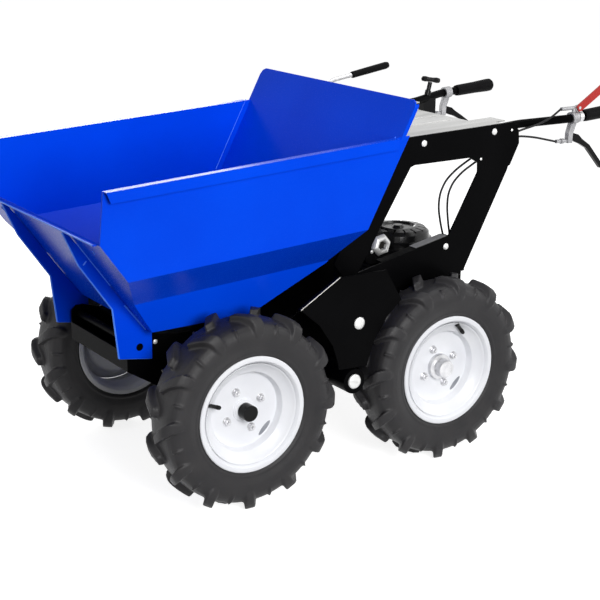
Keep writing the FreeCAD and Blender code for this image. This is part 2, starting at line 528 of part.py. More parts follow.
def lugTyre(lean):
    """A carcass of flat bands with bars that climb to its middle, the first lean degrees off the top."""
    half = [(at.x, at.y) for at in (spot(across, up) for across, up in TYRE)]
    section = half + [(across, -up) for across, up in reversed(half)]
    rings = []
    for across, up in section:
        angles = [2 * math.pi * i / tyreSides for i in range(tyreSides)]
        rings.append([FreeCAD.Vector(across * math.cos(a), up, across * math.sin(a)) for a in angles])
    faces = []
    for first, second in zip(rings, rings[1:] + rings[:1]):
        for i in range(tyreSides):
            j = (i + 1) % tyreSides
            faces.append(Part.Face(Part.makePolygon([first[i], first[j], second[j], second[i], first[i]])))
    whole = Part.Solid(Part.Shell(faces))
    slant, width, radius = math.radians(size("lugLead")), size("lugWidth"), size("tyreRadius")
    along = FreeCAD.Vector(-math.sin(slant), math.cos(slant), 0)
    reach = (size("tyreWidth") / 2 - 28) / math.cos(slant)
    lugEnds = (-0.82, 0.85)
    corners = [-end * reach * math.sin(slant) + across for end in lugEnds for across in (-width / 2, width / 2)]
    halfPitch = 180 / lugsPerSide
    turns = [math.radians(lean + halfPitch * i) for i in (-1, 0, 1)]
    crown = min((radius + across * math.sin(a)) / math.cos(a) for a in turns for across in corners)
    base = size("tyreRadius") - size("lugDepth")
    outline = [(-0.86 * reach, base - 14), (lugEnds[0] * reach, crown), (lugEnds[1] * reach, crown), (reach, base),
               (1.04 * reach, base - 24), (0.9 * reach, base - 36)]
    edge = [along * d + FreeCAD.Vector(-width / 2, 28, r) for d, r in outline]
    lug = Part.Face(Part.makePolygon(edge + edge[:1])).extrude(FreeCAD.Vector(width, 0, 0))
    lugs = []
    for i in range(lugsPerSide):
        for flip in (False, True):
            bar = lug.mirror(FreeCAD.Vector(0, 0, 0), FreeCAD.Vector(0, 1, 0)) if flip else lug.copy()
            turn = halfPitch * (2 * i + flip) + lean
            bar.rotate(FreeCAD.Vector(0, 0, 0), FreeCAD.Vector(0, 1, 0), turn)
            lugs.append(bar)
    return whole.multiFuse(lugs).removeSplitter()


def wheelPair(label, at, lean, boltTurn, hasCap):
    place = {"x": f"{at} + originShift", "y": "trackHalf", "z": "tyreRadius"}
    keepBoth(solid("Tyre" + label, lugTyre(lean)), "tyre" + label, **place)
    boss = rod("Boss" + label, "bossRadius", ("0", "discFace - 30", "0"), "38" if hasCap else "bossReach - discFace + 30")
    pieces = [spun("Ring" + label, RIM), spun("Disc" + label, DISC), boss,
              rod("Shaft" + label, "shaftRadius", ("0", "-100", "0"), "100")]
    for i in range(4):
        angle = f"({boltTurn} + 90 * {i}) * 1 deg"
        pieces.append(rod(f"Bolt{label}{i}", "boltRadius",
                          (f"boltCircle * cos({angle})", "discFace - 8", f"boltCircle * sin({angle})"), "16"))
    keepBoth(join("Rim" + label, *pieces), "rim" + label, **place)
    if hasCap:
        cap = rod("Cap" + label, "capRadius", ("0", "0", "0"), "capReach - discFace - 8 - seatGap")
        keepBoth(cap, "hubCap" + label, x=place["x"], y="trackHalf + discFace + 8 + seatGap", z="tyreRadius")


wheelPair("Front", "frontAxle", 2, 66, True)
wheelPair("Rear", "rearAxle", -2, 67, False)

# Engine: upright shaft, with a round recoil housing on top, a finned cylinder in front of it,
# a small tank over the cylinder and the silencer on the left.
up = FreeCAD.Vector(0, 0, 1)
shaftFoot = spot("engineX", "0", "deckZ + seatGap")
caseTop, cowlTop = size("engineLift"), size("shroudTop")
caseOutline = [(0, 100), (9, 100), (10, 84), (caseTop * 0.5, 90), (caseTop, 84)]
case = turned(caseOutline, shaftFoot, up)
near, ahead = size("engineHalf") - 4, size("engineHalf") + 24
cowlEdge = [(-near, -60), (-60, -near), (60, -near), (ahead, -60), (ahead, near), (60, near + 12), (-60, near),
            (-near, 60)]
cowlFace = [shaftFoot + FreeCAD.Vector(x, y, caseTop) for x, y in cowlEdge]
cowl = Part.Face(Part.makePolygon(cowlFace + cowlFace[:1])).extrude(up * (cowlTop - caseTop))
keep(solid("EngineCase", case.fuse(cowl)), "engineCase")
starterSize = size("starterRadius")
domeOutline = [(0, starterSize), (10, starterSize), (12, starterSize - 5), (28, starterSize - 8),
               (37, starterSize - 18), (41, starterSize - 44), (36, starterSize - 50), (36, 18), (42, 12)]
dome = turned(domeOutline, shaftFoot + up * (cowlTop + size("seatGap")), up)
slot = Part.makeBox(24, 5, 20, FreeCAD.Vector(-starterSize + 14, -2.5, cowlTop + 32))
slots = []
for i in range(16):
    opening = slot.copy()
    opening.rotate(FreeCAD.Vector(0, 0, 0), up, 22.5 * i)
    opening.translate(shaftFoot)
    slots.append(opening)
keep(solid("EngineStarter", dome.cut(Part.makeCompound(slots))), "engineStarter")
headX = "engineX + engineHalf + 24 + seatGap"
finBlocks = [box("CylinderCore", (headX, f"{headX} + 56"), ("-38", "96"), ("deckZ + 40", "deckZ + 150"))]
for i in range(6):
    at = f"{headX} + 4 + finPitch * {i}"
    finBlocks.append(box(f"Fin{i}", (at, f"{at} + finWall"), ("-54", "114"), ("deckZ + 24", "deckZ + 164")))
finBlocks.append(box("CylinderCover", (f"{headX} + 56", f"{headX} + 70"), ("-40", "98"), ("deckZ + 38", "deckZ + 152")))
keep(join("Cylinder", *finBlocks), "engineCylinder")
tankLow = "deckZ + 167"
tankSide = [(headX, tankLow), (headX, "tankTopZ - 12"), (f"{headX} + 10", "tankTopZ"), (f"{headX} + 58", "tankTopZ"),
            (f"{headX} + 70", "tankTopZ - 14"), (f"{headX} + 70", tankLow)]
tankEnd = [("34", tankLow), ("34", "tankTopZ - 14"), ("22", "tankTopZ + 1"), ("-90", "tankTopZ + 1"),
           ("-104", "tankTopZ - 14"), ("-104", tankLow)]
keep(common("Tank", profile("TankSide", tankSide, "300", "150"), profile("TankEnd", tankEnd, "300", "engineX", "YZ")),
     "engineTank")
capFoot = spot(f"{headX} + 34", "-35", "tankTopZ + seatGap")
keep(solid("FuelCap", turned([(0, 24), (9, 25), (12, 22), (13, 12)], capFoot, up)), "engineFuelCap")
silencerSide = [(headX, tankLow), (f"{headX} + 66", tankLow), (f"{headX} + 74", "deckZ + 176"),
                (f"{headX} + 74", "deckZ + 236"), (f"{headX} + 62", "deckZ + 248"),
                (f"{headX} + 6", "deckZ + 248"), (headX, "deckZ + 240")]
keep(profile("Silencer", silencerSide, "68", "108"), "engineSilencer")
outletAt = (f"{headX} + 34", "108 + seatGap", "deckZ + 216")
keep(cut("Outlet", rod("OutletRing", "outletRadius", outletAt, "12"),
         rod("OutletBore", "outletBore", (outletAt[0], "100", outletAt[2]), "40")), "engineOutlet")

# Controls on the tray and the bars.
foot = spot("shiftX", "shiftY", "frameTopZ + 3")
leverRoute = [foot + FreeCAD.Vector(x, 0, z) for x, z in ((0, 0), (4, 34), (-4, 66), (-26, 81), (-91, 91))]
keep(solid("ShiftRod", tube(size("shiftRadius"), leverRoute)[0]), "shiftLeverRod")
toGrip = FreeCAD.Vector(-127, 0, 21)
shiftOutline = [(0.8, 8), (4, 9.2), (60, 9.6), (118, 9.8), (126, 8), (128.5, 4)]
keep(solid("ShiftGrip", turned(shiftOutline, leverRoute[-1], toGrip.normalize())), "shiftLeverGrip")

controlAt = barPoint("clampX + 90", -1)
boxFoot = controlAt + FreeCAD.Vector(-22, -12, -46)
coreRoute = [barPoint(x, -1) for x in ("bendX + 30", "bendX", "clampX + 22", "gripFrontX")]
barCore = tube(size("tubeRadius") + size("seatGap"), coreRoute, 0.2)[0]
keep(solid("ControlBox", Part.makeBox(44, 24, 46, boxFoot).cut(barCore)), "controlBox")
stemFoot, stemLength = barPoint("clampX + 94", -1), 46
lean = FreeCAD.Vector(-12, 0, stemLength).normalize()
collar = Part.makeCylinder(9, 22, stemFoot, lean)
rodUp = Part.makeCylinder(6.5, stemLength, stemFoot, lean)
keep(solid("ChokeStem", collar.fuse(rodUp).cut(barCore)), "chokeStem")
cross = FreeCAD.Vector(-1, 0, -0.17).normalize()
knobEnd, waist = size("knobRadius"), size("knobRadius") - 1.5
knobOutline = [(0, 3), (3, knobEnd - 1), (12, knobEnd), (26, waist), (40, waist), (54, knobEnd), (63, knobEnd - 1),
               (66, 3)]
knobMiddle = stemFoot + lean * (stemLength + waist + 4 * size("seatGap"))
keep(solid("ChokeKnob", turned(knobOutline, knobMiddle - cross * 33, cross)), "chokeKnob")

ring, core, middle = clampRing("clampX - 20", 1, 4, 12)
boltAt = middle + FreeCAD.Vector(8, 0, 25)
lug = flatBar([(middle.x + 3, middle.z + 11, 12), (boltAt.x, boltAt.z + 7, 12)], middle.y, 6)
pinRod = Part.makeCylinder(4, 16, boltAt - FreeCAD.Vector(0, 5, 0), FreeCAD.Vector(0, 1, 0))
keep(solid("DrivePerch", ring.multiFuse([lug, pinRod]).cut(core)), "driveLeverPerch")
leverRun = [(5, -4, 14), (-3, 1, 20), (-85, 50, 21), (-118, 70, 20), (-126, 75, 12)]
lever = flatBar([(boltAt.x + x, boltAt.z + z, width) for x, z, width in leverRun], middle.y + 8, 5)
pinHole = Part.makeCylinder(4.1, 30, boltAt - FreeCAD.Vector(0, 8, 0), FreeCAD.Vector(0, 1, 0))
keep(solid("DriveLever", lever.cut(pinHole)), "driveLever")

doc.recompute()
for thing in doc.Objects:
    if "Invalid" in thing.State or "Error" in thing.State:
        raise RuntimeError(f"{thing.Label} failed: {thing.State}")
for piece in nodes:
    if piece.Shape.isNull() or not piece.Shape.isValid():
        raise RuntimeError(f"{piece.Label} has no valid shape")
    bounds = piece.Shape.BoundBox
    corners = (bounds.XMin, bounds.XMax, bounds.YMin, bounds.YMax, bounds.ZMin, bounds.ZMax)
    print(piece.Label, [round(v) for v in corners], len(piece.Shape.Solids), round(piece.Shape.Volume / 1000))
    piece.Shape.exportStep(f"parts/{piece.Label}.step")
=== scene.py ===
import math

import bmesh
import bpy
from mathutils import Matrix, Vector


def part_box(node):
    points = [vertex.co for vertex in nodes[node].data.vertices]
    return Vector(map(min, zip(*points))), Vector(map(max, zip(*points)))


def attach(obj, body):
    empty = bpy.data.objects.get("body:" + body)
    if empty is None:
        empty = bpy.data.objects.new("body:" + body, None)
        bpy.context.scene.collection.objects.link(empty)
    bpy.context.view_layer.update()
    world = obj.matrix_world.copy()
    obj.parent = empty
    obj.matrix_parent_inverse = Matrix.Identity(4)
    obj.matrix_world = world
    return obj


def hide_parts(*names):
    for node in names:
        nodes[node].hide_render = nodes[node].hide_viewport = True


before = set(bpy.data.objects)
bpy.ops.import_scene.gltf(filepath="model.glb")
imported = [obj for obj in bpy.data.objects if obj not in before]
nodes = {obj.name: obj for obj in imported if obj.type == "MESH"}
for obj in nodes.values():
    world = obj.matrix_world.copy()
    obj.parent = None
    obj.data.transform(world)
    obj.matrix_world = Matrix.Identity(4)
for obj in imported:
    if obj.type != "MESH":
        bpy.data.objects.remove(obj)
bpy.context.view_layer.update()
print("frame loaded:", len(nodes), "nodes")

# camera and light: a pale studio, with the camera where the picture was taken
cameraSetup = {
    "place": (2.0846, 2.9893, 1.4422),  # metres
    "yaw": 235.849, "pitch": 16.597, "roll": 0.6635,  # degrees
    "lens": 86.273, "sensor": 36,  # mm
}


def placeCamera(setup):
    yaw, pitch, roll = (math.radians(setup[angle]) for angle in ("yaw", "pitch", "roll"))
    flat = math.cos(pitch)
    ahead = Vector((math.cos(yaw) * flat, math.sin(yaw) * flat, -math.sin(pitch)))
    level = ahead.cross(Vector((0, 0, 1))).normalized()
    upright = level.cross(ahead)
    across = level * math.cos(roll) + upright * math.sin(roll)
    up = upright * math.cos(roll) - level * math.sin(roll)
    view = bpy.data.cameras.new("studioCamera")
    view.lens = setup["lens"]
    view.sensor_width = setup["sensor"]
    holder = bpy.data.objects.new("studioCamera", view)
    bpy.context.scene.collection.objects.link(holder)
    turned = Matrix((across, up, -ahead)).transposed().to_4x4()
    turned.translation = Vector(setup["place"])
    holder.matrix_world = turned
    bpy.context.scene.camera = holder


placeCamera(cameraSetup)

lampAim = (0.1, 0, 0.4)
lampSetup = {  # places and sizes in metres, power in watts
    "keySoftbox": {"place": (0.8, 3.6, 1.7), "size": 1.5, "power": 116},
    "fillSoftbox": {"place": (3.2, -0.4, 1.2), "size": 1.6, "power": 14},
    "topSoftbox": {"place": (-1.1, 0.3, 3.3), "size": 1.6, "power": 26},
    "rearSoftbox": {"place": (-3.0, 1.8, 1.6), "size": 1.6, "power": 26},
    "sideSoftbox": {"place": (-0.8, -3.5, 1.5), "size": 1.8, "power": 60},
}
for lampName, values in lampSetup.items():
    lamp = bpy.data.lights.new(lampName, "AREA")
    lamp.energy = values["power"]
    lamp.size = values["size"]
    stand = bpy.data.objects.new(lampName, lamp)
    stand.location = values["place"]
    aim = Vector(lampAim) - stand.location
    stand.rotation_euler = aim.to_track_quat("-Z", "Y").to_euler()
    bpy.context.scene.collection.objects.link(stand)

bpy.context.scene.view_settings.view_transform = "Standard"


def addNode(tree, kind, **settings):
    node = tree.nodes.new(kind)
    for key, value in settings.items():
        setattr(node, key, value)
    return node


def seenRays(tree):  # 1 for the rays that see the pale background, 0 for those that only carry its light
    path = addNode(tree, "ShaderNodeLightPath")
    last = path.outputs["Is Camera Ray"]
    for kind in ("Is Glossy Ray", "Is Transmission Ray"):
        either = addNode(tree, "ShaderNodeMath", operation="MAXIMUM")
        tree.links.new(last, either.inputs[0])
        tree.links.new(path.outputs[kind], either.inputs[1])
        last = either.outputs[0]
    return last


def between(tree, factor, low, high, start=0.0, end=1.0):  # a map range from start..end to low..high
    node = addNode(tree, "ShaderNodeMapRange")
    for label, value in (("From Min", start), ("From Max", end), ("To Min", low), ("To Max", high)):
        if hasattr(value, "node"):
            tree.links.new(value, node.inputs[label])
        else:
            node.inputs[label].default_value = value
    tree.links.new(factor, node.inputs["Value"])
    return node.outputs["Result"]


def linkAll(tree, *pairs):  # each pair is an output and the input that it feeds
    for source, target in pairs:
        tree.links.new(source, target)


roomSetup = {
    "fill": 0.28, "shown": 1.0,  # strength of the world's light, and how bright the camera sees it
    "floorSize": 60, "floorZ": -0.0005, "floorRough": 0.9,
    "floorTone": 0.6, "floorGlow": 0.84,  # to the rays that see the background
    "floorBounce": 0.16,  # to all other rays
}


def makeWorld(setup):
    world = bpy.data.worlds.new("paleRoom")
    bpy.context.scene.world = world
    world.use_nodes = True
    tree = world.node_tree
    sky = tree.nodes["Background"]
    sky.inputs["Color"].default_value = (1, 1, 1, 1)
    linkAll(tree, (between(tree, seenRays(tree), setup["fill"], setup["shown"]), sky.inputs["Strength"]))


def makeFloor(setup):
    bpy.ops.mesh.primitive_plane_add(size=setup["floorSize"], location=(0, 0, setup["floorZ"]))
    floor = bpy.context.object
    floor.name = "studioFloor"
    paint = bpy.data.materials.new("floorPaint")
    paint.use_nodes = True
    tree = paint.node_tree
    shader = tree.nodes["Principled BSDF"]
    shader.inputs["Roughness"].default_value = setup["floorRough"]
    shader.inputs["Specular IOR Level"].default_value = 0
    shader.inputs["Emission Color"].default_value = (1, 1, 1, 1)
    seen = seenRays(tree)
    glow = between(tree, seen, 0, setup["floorGlow"])
    tone = between(tree, seen, setup["floorBounce"], setup["floorTone"])
    linkAll(tree, (glow, shader.inputs["Emission Strength"]), (tone, shader.inputs["Base Color"]))
    floor.data.materials.append(paint)


makeWorld(roomSetup)
makeFloor(roomSetup)
print("studio ready")


# shader groups that the finishes share
def newGroup(name, inputs, outputs):
    group = bpy.data.node_groups.new(name, "ShaderNodeTree")
    for label, kind, start in inputs:
        group.interface.new_socket(label, in_out="INPUT", socket_type=kind).default_value = start
    for label, kind in outputs:
        group.interface.new_socket(label, in_out="OUTPUT", socket_type=kind)
    return group, addNode(group, "NodeGroupInput"), addNode(group, "NodeGroupOutput")


grainSetup = {
    "patchDetail": 4, "patchEdges": (0.34, 0.68),  # noise levels between which the shade fades in
    "grainDetail": 3, "grainEdges": (0.3, 0.7), "bump": 0.001,
}


def makeSurfaceGrain(setup):  # slow colour patches, a fine grain in the gloss, and its bump
    group, given, result = newGroup("surfaceGrain", [
        ("Color", "NodeSocketColor", (0.5, 0.5, 0.5, 1)),
        ("Shade", "NodeSocketColor", (0.4, 0.4, 0.4, 1)),
        ("Stretch", "NodeSocketVector", (1, 1, 1)), ("Patch Scale", "NodeSocketFloat", 4),
        ("Grain Scale", "NodeSocketFloat", 300), ("Rough Low", "NodeSocketFloat", 0.3),
        ("Rough High", "NodeSocketFloat", 0.4), ("Depth", "NodeSocketFloat", 0.1)],
        [("Color", "NodeSocketColor"), ("Roughness", "NodeSocketFloat"), ("Normal", "NodeSocketVector")])
    place = addNode(group, "ShaderNodeTexCoord")
    spread = addNode(group, "ShaderNodeVectorMath", operation="MULTIPLY")
    linkAll(group,
            (place.outputs["Object"], spread.inputs[0]),
            (given.outputs["Stretch"], spread.inputs[1]))
    patches = addNode(group, "ShaderNodeTexNoise")
    patches.inputs["Detail"].default_value = setup["patchDetail"]
    grain = addNode(group, "ShaderNodeTexNoise")
    grain.inputs["Detail"].default_value = setup["grainDetail"]
    for noise, scale in ((patches, "Patch Scale"), (grain, "Grain Scale")):
        linkAll(group,
                (spread.outputs[0], noise.inputs["Vector"]),
                (given.outputs[scale], noise.inputs["Scale"]))
    mix = addNode(group, "ShaderNodeMix", data_type="RGBA")
    linkAll(group,
            (between(group, patches.outputs["Fac"], 0, 1, *setup["patchEdges"]), mix.inputs["Factor"]),
            (given.outputs["Color"], mix.inputs["A"]),
            (given.outputs["Shade"], mix.inputs["B"]))
    rough = between(group, grain.outputs["Fac"], given.outputs["Rough Low"], given.outputs["Rough High"],
                    *setup["grainEdges"])
    bump = addNode(group, "ShaderNodeBump")
    bump.inputs["Distance"].default_value = setup["bump"]
    linkAll(group,
            (given.outputs["Depth"], bump.inputs["Strength"]),
            (grain.outputs["Fac"], bump.inputs["Height"]),
            (mix.outputs["Result"], result.inputs["Color"]),
            (rough, result.inputs["Roughness"]),
            (bump.outputs["Normal"], result.inputs["Normal"]))
    return group


filmSetup = {"scale": 24, "detail": 6, "edges": (0.4, 0.7)}


def makeDustFilm(setup):  # a thin dry film that gathers near the ground
    group, given, result = newGroup("dustFilm", [
        ("Color", "NodeSocketColor", (0.5, 0.5, 0.5, 1)),
        ("Dust", "NodeSocketColor", (0.3, 0.25, 0.2, 1)),
        ("Reach", "NodeSocketFloat", 0.3), ("Amount", "NodeSocketFloat", 0.2)],
        [("Color", "NodeSocketColor"), ("Mask", "NodeSocketFloat")])
    place = addNode(group, "ShaderNodeTexCoord")
    parts = addNode(group, "ShaderNodeSeparateXYZ")
    linkAll(group, (place.outputs["Object"], parts.inputs[0]))
    low = between(group, parts.outputs["Z"], given.outputs["Amount"], 0, 0, given.outputs["Reach"])
    noise = addNode(group, "ShaderNodeTexNoise")
    noise.inputs["Scale"].default_value = setup["scale"]
    noise.inputs["Detail"].default_value = setup["detail"]
    linkAll(group, (place.outputs["Object"], noise.inputs["Vector"]))
    mask = addNode(group, "ShaderNodeMath", operation="MULTIPLY")
    linkAll(group,
            (low, mask.inputs[0]),
            (between(group, noise.outputs["Fac"], 0, 1, *setup["edges"]), mask.inputs[1]))
    mix = addNode(group, "ShaderNodeMix", data_type="RGBA")
    linkAll(group,
            (mask.outputs[0], mix.inputs["Factor"]),
            (given.outputs["Color"], mix.inputs["A"]),
            (given.outputs["Dust"], mix.inputs["B"]),
            (mix.outputs["Result"], result.inputs["Color"]),
            (mask.outputs[0], result.inputs["Mask"]))
    return group


surfaceGrain = makeSurfaceGrain(grainSetup)
dustFilm = makeDustFilm(filmSetup)

# finishes: a colour and its darker or lighter patches, the scales of patches and grain, the roughness range,
# the grain's depth, and the values of the shader and of the dust film
finishSetup = {
    "bluePaint": {"color": (0.0, 0.062, 0.77), "shade": (0.0, 0.05, 0.69),
                  "patch": 3, "grain": 420, "rough": (0.2, 0.3), "depth": 0.02, "specular": 0.045},
    # a lighter blue for the weld beads and folded edges of the skip: the lighter colour is a painted
    # highlight
    "paintedHighlightBlue": {"color": (0.06, 0.24, 0.95), "shade": (0.03, 0.17, 0.9),
                 "patch": 30, "grain": 500, "rough": (0.3, 0.45), "depth": 0.1, "specular": 0.3},
    "frameBlack": {"color": (0.001, 0.001, 0.0012), "shade": (0.002, 0.002, 0.0023),
                   "patch": 6, "grain": 700, "rough": (0.3, 0.45), "depth": 0.08, "specular": 0.018,
                   "dust": 0.006, "dustColor": (0.16, 0.13, 0.11), "reach": 0.35},
    "rimPaint": {"color": (0.82, 0.83, 0.86), "shade": (0.76, 0.77, 0.81),
                 "patch": 9, "grain": 500, "rough": (0.28, 0.4), "depth": 0.05, "specular": 0.4},
    "tyreRubber": {"color": (0.0185, 0.0178, 0.0192), "shade": (0.011, 0.0105, 0.012),
                   "patch": 14, "grain": 900, "rough": (0.36, 0.58), "depth": 0.35, "specular": 0.26,
                   "dust": 0.08, "dustColor": (0.07, 0.06, 0.055), "reach": 0.6},
    "gripRubber": {"color": (0.002, 0.002, 0.0023), "shade": (0.004, 0.004, 0.0044),
                   "patch": 20, "grain": 1100, "rough": (0.45, 0.65), "depth": 0.35, "specular": 0.05},
    "blackPlastic": {"color": (0.003, 0.003, 0.0035), "shade": (0.005, 0.005, 0.0055),
                     "patch": 20, "grain": 900, "rough": (0.1, 0.18), "depth": 0.04, "specular": 0.12},
    "zincSteel": {"color": (0.66, 0.66, 0.67), "shade": (0.5, 0.5, 0.52),
                  "patch": 40, "grain": 1400, "rough": (0.2, 0.38), "depth": 0.1, "metallic": 1.0},
    "boltZinc": {"color": (0.8, 0.8, 0.79), "shade": (0.68, 0.68, 0.67),
                 "patch": 60, "grain": 1500, "rough": (0.3, 0.42), "depth": 0.08, "metallic": 0.45,
                 "specular": 0.5},
    # light grey for a bead along the guard's top edge: painted highlight
    "paintedEdgeHighlight": {"color": (0.62, 0.6, 0.55), "shade": (0.5, 0.48, 0.44),
                 "patch": 60, "grain": 900, "rough": (0.4, 0.5), "depth": 0.1, "metallic": 0.3},
    # grey for the rim's window: painted shade
    "slotShade": {"color": (0.3, 0.31, 0.34), "shade": (0.22, 0.23, 0.26),
                  "patch": 30, "grain": 700, "rough": (0.4, 0.55), "depth": 0.1, "specular": 0.3},
    # near black for the closed bore of the outlet: painted shade
    "paintedBoreShade": {"color": (0.012, 0.011, 0.01), "shade": (0.02, 0.018, 0.016),
             "patch": 60, "grain": 900, "rough": (0.7, 0.85), "depth": 0.3, "specular": 0.1},
    # grey for the strip along the black frame's sill: painted reflection
    "paintedSillReflection": {"color": (0.19, 0.19, 0.19), "shade": (0.16, 0.16, 0.16),
                 "patch": 20, "grain": 700, "rough": (0.4, 0.55), "depth": 0.1, "specular": 0.3},
    "redPaint": {"color": (0.44, 0.02, 0.015), "shade": (0.36, 0.012, 0.01),
                 "patch": 16, "grain": 700, "rough": (0.28, 0.4), "depth": 0.06, "specular": 0.3},
    "greySheet": {"color": (0.42, 0.42, 0.41), "shade": (0.6, 0.6, 0.59),
                  "patch": 7, "grain": 260, "rough": (0.3, 0.5), "depth": 0.05, "metallic": 0.55,
                  "stretch": (0.35, 3.2, 3.2)},
    "cableJacket": {"color": (0.006, 0.006, 0.0065), "shade": (0.01, 0.01, 0.011),
                    "patch": 60, "grain": 900, "rough": (0.4, 0.55), "depth": 0.1, "specular": 0.2},
    "engineBlack": {"color": (0.004, 0.004, 0.0045), "shade": (0.007, 0.007, 0.0075),
                    "patch": 12, "grain": 800, "rough": (0.12, 0.24), "depth": 0.08, "specular": 0.3},
    "castAlloy": {"color": (0.4, 0.4, 0.41), "shade": (0.26, 0.26, 0.27),
                  "patch": 30, "grain": 800, "rough": (0.36, 0.6), "depth": 0.4, "metallic": 0.8},
}


def makeFinish(name, values):
    paint = bpy.data.materials.new(name)
    paint.use_nodes = True
    tree = paint.node_tree
    shader = tree.nodes["Principled BSDF"]
    coat = addNode(tree, "ShaderNodeGroup", node_tree=surfaceGrain)
    coat.inputs["Color"].default_value = (*values["color"], 1)
    coat.inputs["Shade"].default_value = (*values["shade"], 1)
    coat.inputs["Stretch"].default_value = values.get("stretch", (1, 1, 1))
    coat.inputs["Patch Scale"].default_value = values["patch"]
    coat.inputs["Grain Scale"].default_value = values["grain"]
    coat.inputs["Rough Low"].default_value = values["rough"][0]
    coat.inputs["Rough High"].default_value = values["rough"][1]
    coat.inputs["Depth"].default_value = values["depth"]
    color = coat.outputs["Color"]
    if "dust" in values:
        film = addNode(tree, "ShaderNodeGroup", node_tree=dustFilm)
        film.inputs["Amount"].default_value = values["dust"]
        film.inputs["Reach"].default_value = values["reach"]
        film.inputs["Dust"].default_value = (*values["dustColor"], 1)
        tree.links.new(color, film.inputs["Color"])
        color = film.outputs["Color"]
    linkAll(tree,
            (color, shader.inputs["Base Color"]),
            (coat.outputs["Roughness"], shader.inputs["Roughness"]),
            (coat.outputs["Normal"], shader.inputs["Normal"]))
    shader.inputs["Metallic"].default_value = values.get("metallic", 0)
    shader.inputs["Specular IOR Level"].default_value = values.get("specular", 0.5)
    return paint


finishes = {name: makeFinish(name, values) for name, values in finishSetup.items()}
print("finishes ready:", len(finishes))

# which finish each node of the frame takes, by the start of its name
finishOf = {
    "skip": "bluePaint", "chassis": "frameBlack", "handleFrame": "frameBlack", "handlebar": "frameBlack",
    "axle": "frameBlack", "pivotPin": "frameBlack", "consoleTray": "greySheet", "grip": "gripRubber",
    "leverBracket": "castAlloy", "leverBlade": "blackPlastic", "tyre": "tyreRubber", "rim": "rimPaint",
    "hubCap": "blackPlastic", "engine": "engineBlack", "engineFuelCap": "blackPlastic",
    "engineOutlet": "zincSteel", "shiftLeverRod": "zincSteel", "shiftLeverGrip": "gripRubber",
    "controlBox": "blackPlastic", "chokeStem": "blackPlastic", "chokeKnob": "blackPlastic",
    "driveLeverPerch": "zincSteel", "driveLever": "redPaint", "cable": "cableJacket",
}
for nodeName, node in nodes.items():
    start = max((opening for opening in finishOf if nodeName.startswith(opening)), key=len)
    node.data.materials.clear()
    node.data.materials.append(finishes[finishOf[start]])
print("frame dressed")

modelSetup = {"start": 0.01, "step": 0.001, "merge": 1e-5, "same": 1e-7}  # metres
perMetre = 1000  # outlines are in mm


# tools for the new pieces
def clearPick():
    if bpy.context.object and bpy.context.object.mode != "OBJECT":
        bpy.ops.object.mode_set(mode="OBJECT")
    bpy.ops.object.select_all(action="DESELECT")


def pickOnly(piece):
    clearPick()
    piece.select_set(True)
    bpy.context.view_layer.objects.active = piece


def useModifier(piece, kind, **settings):
    pickOnly(piece)
    step = piece.modifiers.new(kind, kind)
    for key, value in settings.items():
        setattr(step, key, value)
    bpy.ops.object.modifier_apply(modifier=step.name)


def turnedPiece(name, outline, steps, ring=False):  # (radius, along) in mm, spun about Y
    clearPick()
    bpy.ops.mesh.primitive_circle_add(vertices=len(outline), radius=modelSetup["start"])
    piece = bpy.context.object
    piece.name = piece.data.name = name
    bpy.ops.object.mode_set(mode="EDIT")
    shape = bmesh.from_edit_mesh(piece.data)
    shape.verts.ensure_lookup_table()
    for corner, (reach, along) in zip(shape.verts, outline):
        corner.co = (reach / perMetre, along / perMetre, 0)
    if not ring:  # both ends of the outline lie on the axis, and no edge joins them
        ends = {shape.verts[0], shape.verts[len(outline) - 1]}
        onAxis = [edge for edge in shape.edges if set(edge.verts) == ends]
        bmesh.ops.delete(shape, geom=onAxis, context="EDGES")
    bmesh.update_edit_mesh(piece.data)
    bpy.ops.mesh.select_all(action="SELECT")
    bpy.ops.mesh.spin(steps=steps, angle=math.tau, center=(0, 0, 0), axis=(0, 1, 0))
    bpy.ops.mesh.select_all(action="SELECT")
    bpy.ops.mesh.remove_doubles(threshold=modelSetup["merge"])
    bpy.ops.mesh.normals_make_consistent(inside=False)
    bpy.ops.object.mode_set(mode="OBJECT")
    return piece


def loftedBar(name, rings):  # a cube whose end face is extruded from ring to ring, four corners each
    clearPick()
    bpy.ops.mesh.primitive_cube_add(size=modelSetup["start"])
    piece = bpy.context.object
    piece.name = piece.data.name = name
    bpy.ops.object.mode_set(mode="EDIT")
    shape = bmesh.from_edit_mesh(piece.data)
    near = sorted((v for v in shape.verts if v.co.y < 0), key=lambda v: math.atan2(v.co.z, v.co.x))
    across = [[edge.other_vert(v) for edge in v.link_edges] for v in near]
    far = [next(v for v in others if v.co.y > 0) for others in across]
    for corner, at in zip(near + far, rings[0] + rings[1]):
        corner.co = at
    step = Vector((0, modelSetup["step"], 0))
    for last, ring in zip(rings[1:], rings[2:]):
        bmesh.update_edit_mesh(piece.data)
        bpy.ops.mesh.select_all(action="DESELECT")
        shape = bmesh.from_edit_mesh(piece.data)
        for face in shape.faces:
            if all(min((v.co - at).length for at in last) < modelSetup["same"] for v in face.verts):
                face.select_set(True)
        bpy.ops.mesh.extrude_region_move(TRANSFORM_OT_translate={"value": step})
        shape = bmesh.from_edit_mesh(piece.data)
        fresh = [v for v in shape.verts if v.select]
        corners = [min(fresh, key=lambda v: (v.co - old - step).length) for old in last]
        for corner, at in zip(corners, ring):
            corner.co = at
    bmesh.update_edit_mesh(piece.data)
    bpy.ops.mesh.select_all(action="SELECT")
    bpy.ops.mesh.normals_make_consistent(inside=False)
    bpy.ops.object.mode_set(mode="OBJECT")
    return piece


